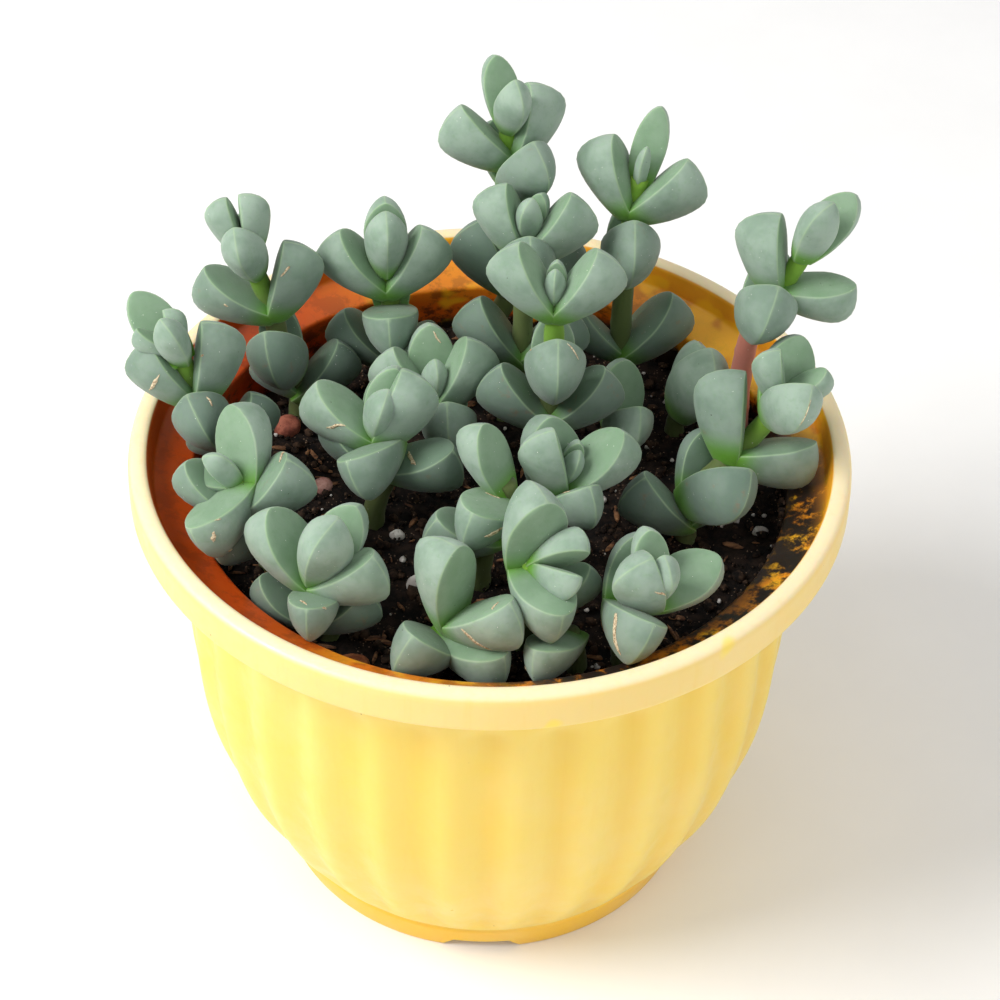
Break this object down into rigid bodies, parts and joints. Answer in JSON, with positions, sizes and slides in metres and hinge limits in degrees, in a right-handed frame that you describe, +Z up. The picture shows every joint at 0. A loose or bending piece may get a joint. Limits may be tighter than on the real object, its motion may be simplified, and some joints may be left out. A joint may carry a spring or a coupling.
{
  "type": "potted ice plant",
  "caption": "Succulent with fat three-sided leaves in facing pairs on short stems, growing in a round yellow plastic pot of dark soil.",
  "frame": {"origin": "centre of the pot's foot, on the surface it stands on", "axes": "+Z up along the pot's axis; -Y towards the front that the picture shows; +X to the right seen from the front"},
  "size_m": [0.16, 0.16, 0.1771],
  "materials": {
    "pot": "satin, slightly translucent, yellow",
    "soil": "rough, nearly black potting soil",
    "leaf": "waxy grey-green bloom",
    "pebble": "matte fired clay",
    "perlite": "matte white, pitted",
    "bark": "rough, dry"
  },
  "bodies": {
    "root": {"bark_chip": "bark", "pebble_clay": "pebble", "pebble_orange": "pebble", "pebble_rose": "pebble", "perlite_front": "perlite", "perlite_left": "perlite", "perlite_right": "perlite", "pot": "pot", "shoot_back_left": "leaf", "shoot_back_middle": "leaf", "shoot_back_right": "leaf", "shoot_back_tall": "leaf", "shoot_centre": "leaf", "shoot_centre_back": "leaf", "shoot_centre_front": "leaf", "shoot_centre_left": "leaf", "shoot_front": "leaf", "shoot_front_left": "leaf", "shoot_front_low": "leaf", "shoot_front_middle": "leaf", "shoot_front_right": "leaf", "shoot_left": "leaf", "shoot_left_back": "leaf", "shoot_left_leaning": "leaf", "shoot_middle_low": "leaf", "shoot_middle_right": "leaf", "shoot_right": "leaf", "shoot_right_inner": "leaf", "shoot_right_leaning": "leaf", "soil": "soil"}
  },
  "joints": []
}
